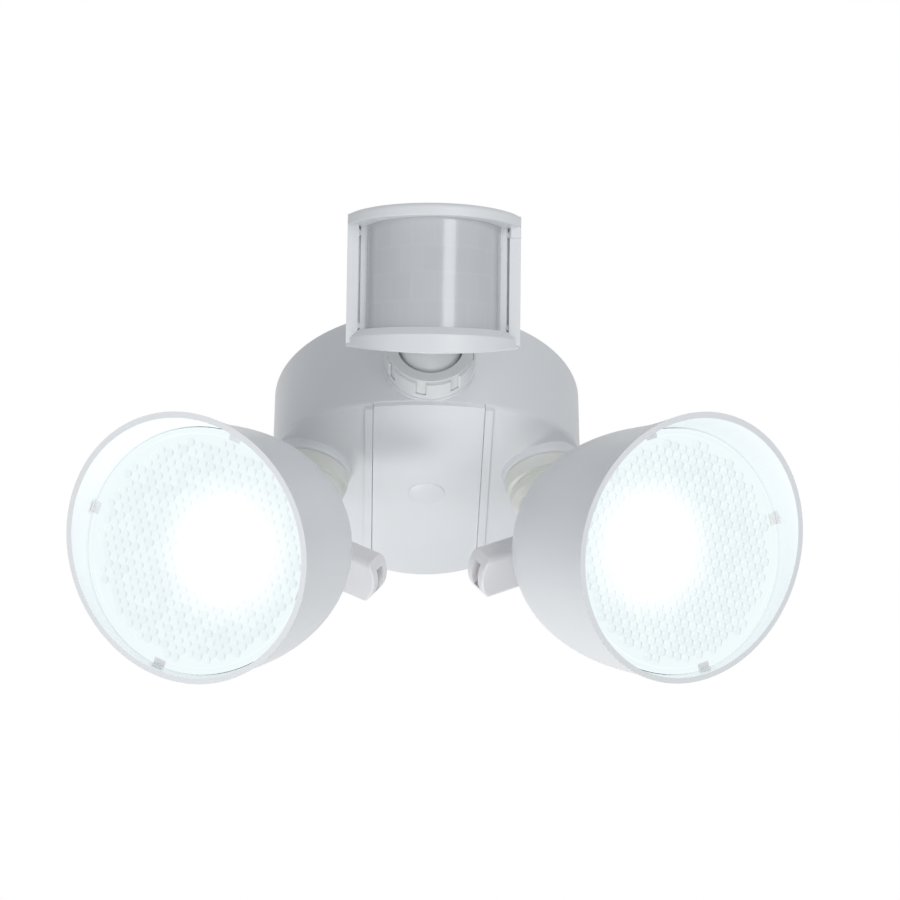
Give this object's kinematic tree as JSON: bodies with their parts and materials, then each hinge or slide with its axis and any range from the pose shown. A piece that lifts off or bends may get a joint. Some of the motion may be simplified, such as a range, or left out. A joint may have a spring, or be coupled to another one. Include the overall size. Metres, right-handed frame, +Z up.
{
  "type": "motion sensor security light",
  "caption": "Twin-head security light on a round canopy, with bell-shaped lamp heads on swivel arms and a ball-jointed motion sensor.",
  "frame": {"origin": "middle of the canopy's open back, in the ceiling plane and between the mounting bar's slots", "axes": "+Z up out of the canopy's back, -Y towards the sensor and the lamps' aim, +X to the viewer's right"},
  "size_m": [0.3057, 0.249, 0.1816],
  "materials": {
    "white_housing": "satin, finely textured",
    "white_joint": "satin",
    "nylon": "satin natural nylon",
    "cream_ring": "satin cream nylon",
    "knob_plastic": "satin, faintly warm",
    "gasket_rubber": "matt foam rubber",
    "zinc_steel": "zinc plated",
    "green_steel": "green",
    "brass_insert": "turned",
    "circuit_board": "solder mask",
    "dark_parts": "moulded",
    "detector_can": "tinned can",
    "sink_aluminium": "cast",
    "led_source": "phosphor over white board",
    "reflector_white": "bright white",
    "prism_lens": "prismatic pressed face",
    "sensor_window": "milky translucent film",
    "slider_plastic": "satin"
  },
  "bodies": {
    "canopy": {"canopy_housing": "white_housing", "centre_cover": "white_housing", "bolt_plug": "white_housing", "wall_gasket": "gasket_rubber", "mounting_bar": "zinc_steel", "bar_bolt": "zinc_steel", "bar_nut": "zinc_steel", "ground_screw": "green_steel", "control_board": "circuit_board", "board_screws": "zinc_steel", "board_parts": "dark_parts", "terminal_block": "dark_parts", "sensor_collar": "white_joint"},
    "pan_bush": {"ball_bush": "nylon"},
    "lock_nut": {"sensor_lock_nut": "white_joint"},
    "ball_arm": {"ball_arm": "white_joint"},
    "sensor_head": {"sensor_rear_shell": "white_housing", "sensor_front_shell": "white_housing", "sensor_lens": "sensor_window", "sensor_board": "circuit_board", "pyro_detector": "detector_can", "photocell": "dark_parts", "sensor_screws": "zinc_steel", "clamp_bolt": "zinc_steel", "clamp_nut": "zinc_steel"},
    "range_slider": {"range_switch": "slider_plastic"},
    "time_slider": {"time_switch": "slider_plastic"},
    "left_arm": {"left_swivel_arm": "white_joint"},
    "left_ring": {"left_lock_ring": "cream_ring"},
    "left_head": {"left_shade": "white_housing", "left_heat_sink": "sink_aluminium", "left_led_board": "led_source", "left_reflector": "reflector_white", "left_lens_gasket": "gasket_rubber", "left_lens": "prism_lens", "left_lens_clips": "zinc_steel", "left_hinge_bolt": "zinc_steel"},
    "left_knob": {"left_knob_insert": "brass_insert", "left_paddle_knob": "knob_plastic"},
    "right_arm": {"right_swivel_arm": "white_joint"},
    "right_ring": {"right_lock_ring": "cream_ring"},
    "right_head": {"right_shade": "white_housing", "right_heat_sink": "sink_aluminium", "right_led_board": "led_source", "right_reflector": "reflector_white", "right_lens_gasket": "gasket_rubber", "right_lens": "prism_lens", "right_lens_clips": "zinc_steel", "right_hinge_bolt": "zinc_steel"},
    "right_knob": {"right_knob_insert": "brass_insert", "right_paddle_knob": "knob_plastic"}
  },
  "joints": [
    {"name": "sensor_roll", "type": "hinge", "parent": "canopy", "child": "pan_bush", "pos_m": [0, -0.075, -0.029], "axis": [0, -1, 0], "range_deg": [-45, 45]},
    {"name": "sensor_swing", "type": "hinge", "parent": "pan_bush", "child": "ball_arm", "pos_m": [0, -0.075, -0.029], "axis": [1, 0, 0], "range_deg": [-14, 14]},
    {"name": "sensor_tilt", "type": "hinge", "parent": "ball_arm", "child": "sensor_head", "pos_m": [0, -0.1098, -0.03042], "axis": [1, 0, 0], "range_deg": [-35, 20]},
    {"name": "sensor_nut_turn", "type": "hinge", "parent": "canopy", "child": "lock_nut", "pos_m": [0, -0.075, -0.029], "axis": [0, -1, 0], "range_deg": [0, 180]},
    {"name": "range_slide", "type": "slide", "parent": "sensor_head", "child": "range_slider", "axis": [1, 0, 0], "range_m": [-0.003, 0.003]},
    {"name": "time_slide", "type": "slide", "parent": "sensor_head", "child": "time_slider", "axis": [1, 0, 0], "range_m": [-0.003, 0.003]},
    {"name": "left_swivel", "type": "hinge", "parent": "canopy", "child": "left_arm", "pos_m": [-0.0502, -0.011, -0.04192], "axis": [-0.2215, 0, -0.9751], "range_deg": [-20, 80]},
    {"name": "left_tilt", "type": "hinge", "parent": "left_arm", "child": "left_head", "pos_m": [-0.05973, -0.011, -0.08385], "axis": [-0.8695, 0.1004, 0.4836], "range_deg": [-60, 25]},
    {"name": "left_knob_turn", "type": "hinge", "parent": "left_head", "child": "left_knob", "pos_m": [-0.05973, -0.011, -0.08385], "axis": [-0.8695, 0.1004, 0.4836], "range_deg": [-180, 180]},
    {"name": "left_ring_turn", "type": "hinge", "parent": "canopy", "child": "left_ring", "pos_m": [-0.0502, -0.011, -0.04192], "axis": [-0.2215, 0, -0.9751], "range_deg": [0, 180]},
    {"name": "right_swivel", "type": "hinge", "parent": "canopy", "child": "right_arm", "pos_m": [0.0502, -0.011, -0.04192], "axis": [-0.2215, 0, 0.9751], "range_deg": [-20, 80]},
    {"name": "right_tilt", "type": "hinge", "parent": "right_arm", "child": "right_head", "pos_m": [0.05973, -0.011, -0.08385], "axis": [-0.8506, -0.216, -0.4794], "range_deg": [-60, 25]},
    {"name": "right_knob_turn", "type": "hinge", "parent": "right_head", "child": "right_knob", "pos_m": [0.05973, -0.011, -0.08385], "axis": [-0.8506, -0.216, -0.4794], "range_deg": [-180, 180]},
    {"name": "right_ring_turn", "type": "hinge", "parent": "canopy", "child": "right_ring", "pos_m": [0.0502, -0.011, -0.04192], "axis": [-0.2215, 0, 0.9751], "range_deg": [0, 180]}
  ]
}
